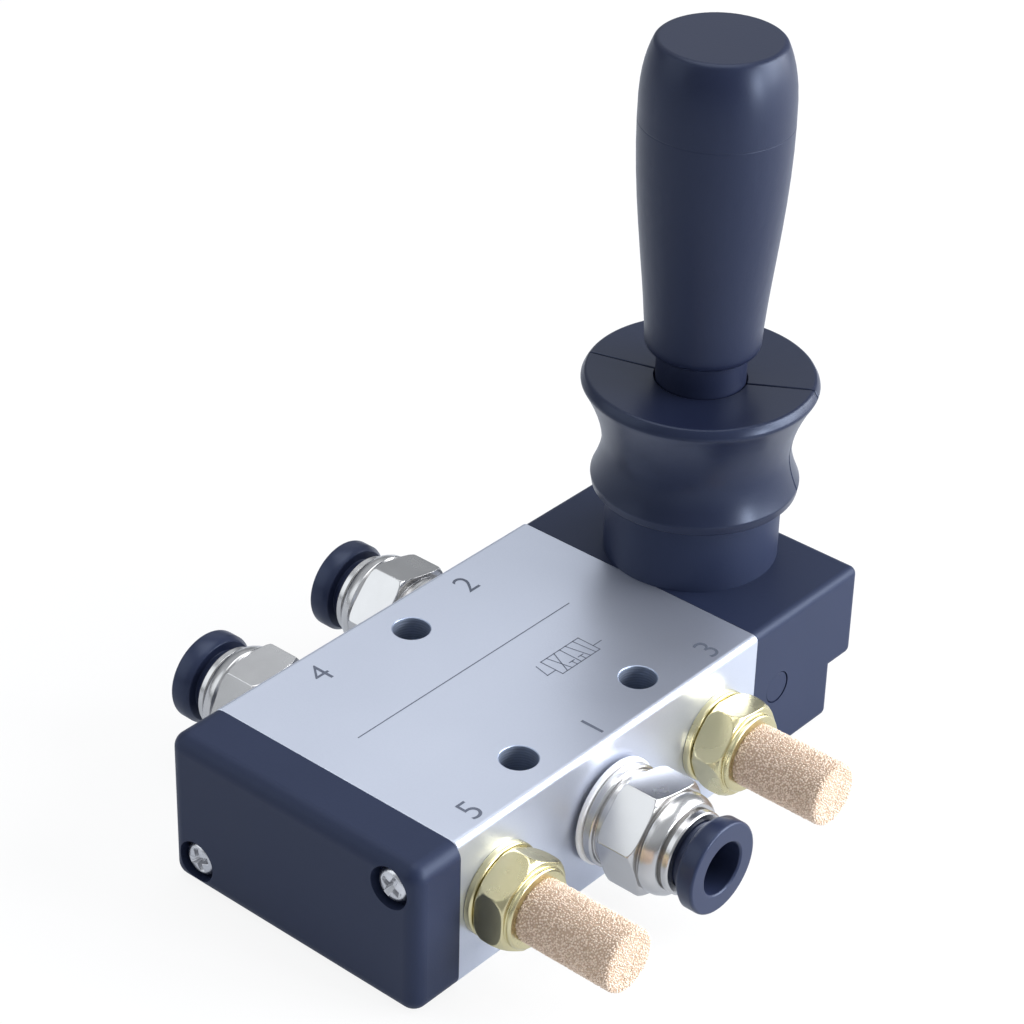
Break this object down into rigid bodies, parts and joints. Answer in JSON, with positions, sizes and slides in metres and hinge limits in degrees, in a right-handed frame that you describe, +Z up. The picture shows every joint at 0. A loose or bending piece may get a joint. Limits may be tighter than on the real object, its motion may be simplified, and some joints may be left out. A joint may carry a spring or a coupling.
{
  "type": "hand lever air valve",
  "caption": "Hand lever spool valve for compressed air with an upright grip, push-in tube fittings on one side and bronze silencers on the other.",
  "frame": {"origin": "middle of the aluminium body's underside", "axes": "+X along the spool towards the lever, +Y towards the two outlet fittings, +Z up along the lever"},
  "size_m": [0.0808, 0.0696, 0.0832],
  "materials": {
    "body_aluminium": "satin natural anodised, bead blasted",
    "moulded_plastic": "dark navy grey, fine matt texture",
    "grip_plastic": "dark navy grey, smooth satin",
    "collar_plastic": "dark navy grey, fine matt texture",
    "release_plastic": "dark blue, moulded",
    "seat_plastic": "natural white acetal",
    "zinc_steel": "bright zinc plated",
    "rod_steel": "turned, nickel plated",
    "ball_steel": "ground and polished",
    "spring_steel": "drawn wire",
    "spool_aluminium": "turned and polished",
    "seal_rubber": "black nitrile",
    "nickel": "nickel plated brass, bright",
    "seal_washer": "white nylon sealing washer",
    "collet_steel": "spring steel",
    "nut_brass": "pale turned brass",
    "sintered_bronze": "porous sintered bronze grains",
    "insert_brass": "turned brass"
  },
  "bodies": {
    "valve": {"valve_body": "body_aluminium", "end_cap": "moulded_plastic", "end_cap_screws": "zinc_steel", "lever_housing": "moulded_plastic", "housing_screws": "zinc_steel", "pivot_seat": "seat_plastic", "pivot_cap": "moulded_plastic", "pivot_pin": "ball_steel", "spool_end_seals": "seal_rubber", "detent_ball": "ball_steel", "detent_spring": "spring_steel", "detent_plug": "moulded_plastic", "fitting_body_a": "nickel", "fitting_washer_a": "seal_washer", "tube_seal_a": "seal_rubber", "collet_a": "collet_steel", "fitting_body_b": "nickel", "fitting_washer_b": "seal_washer", "tube_seal_b": "seal_rubber", "collet_b": "collet_steel", "fitting_body_p": "nickel", "fitting_washer_p": "seal_washer", "tube_seal_p": "seal_rubber", "collet_p": "collet_steel", "silencer_nut_r": "nut_brass", "silencer_element_r": "sintered_bronze", "silencer_nut_s": "nut_brass", "silencer_element_s": "sintered_bronze"},
    "spool": {"spool": "spool_aluminium", "spool_seals": "seal_rubber"},
    "lever": {"lever_rod": "rod_steel", "grip": "grip_plastic", "grip_insert": "insert_brass", "collar_front_half": "collar_plastic", "collar_rear_half": "collar_plastic"},
    "release_ring_a": {"release_ring_a": "release_plastic"},
    "release_ring_b": {"release_ring_b": "release_plastic"},
    "release_ring_p": {"release_ring_p": "release_plastic"}
  },
  "joints": [
    {"name": "lever_tilt", "type": "hinge", "parent": "valve", "child": "lever", "pos_m": [0.03505, 0, 0.018], "axis": [0, 1, 0], "range_deg": [-15, 15]},
    {"name": "spool_slide", "type": "slide", "parent": "valve", "child": "spool", "axis": [1, 0, 0], "range_m": [-0.00223, 0.00223]},
    {"name": "release_a", "type": "slide", "parent": "valve", "child": "release_ring_a", "axis": [0, -1, 0], "range_m": [0, 0.001], "stiffness_N_per_m": 800, "springref_m": -0.0005},
    {"name": "release_b", "type": "slide", "parent": "valve", "child": "release_ring_b", "axis": [0, -1, 0], "range_m": [0, 0.001], "stiffness_N_per_m": 800, "springref_m": -0.0005},
    {"name": "release_p", "type": "slide", "parent": "valve", "child": "release_ring_p", "axis": [0, 1, 0], "range_m": [0, 0.001], "stiffness_N_per_m": 800, "springref_m": -0.0005}
  ],
  "couplings": [
    {"joint": "spool_slide", "follows": "lever_tilt", "m_per_rad": -0.0085}
  ]
}
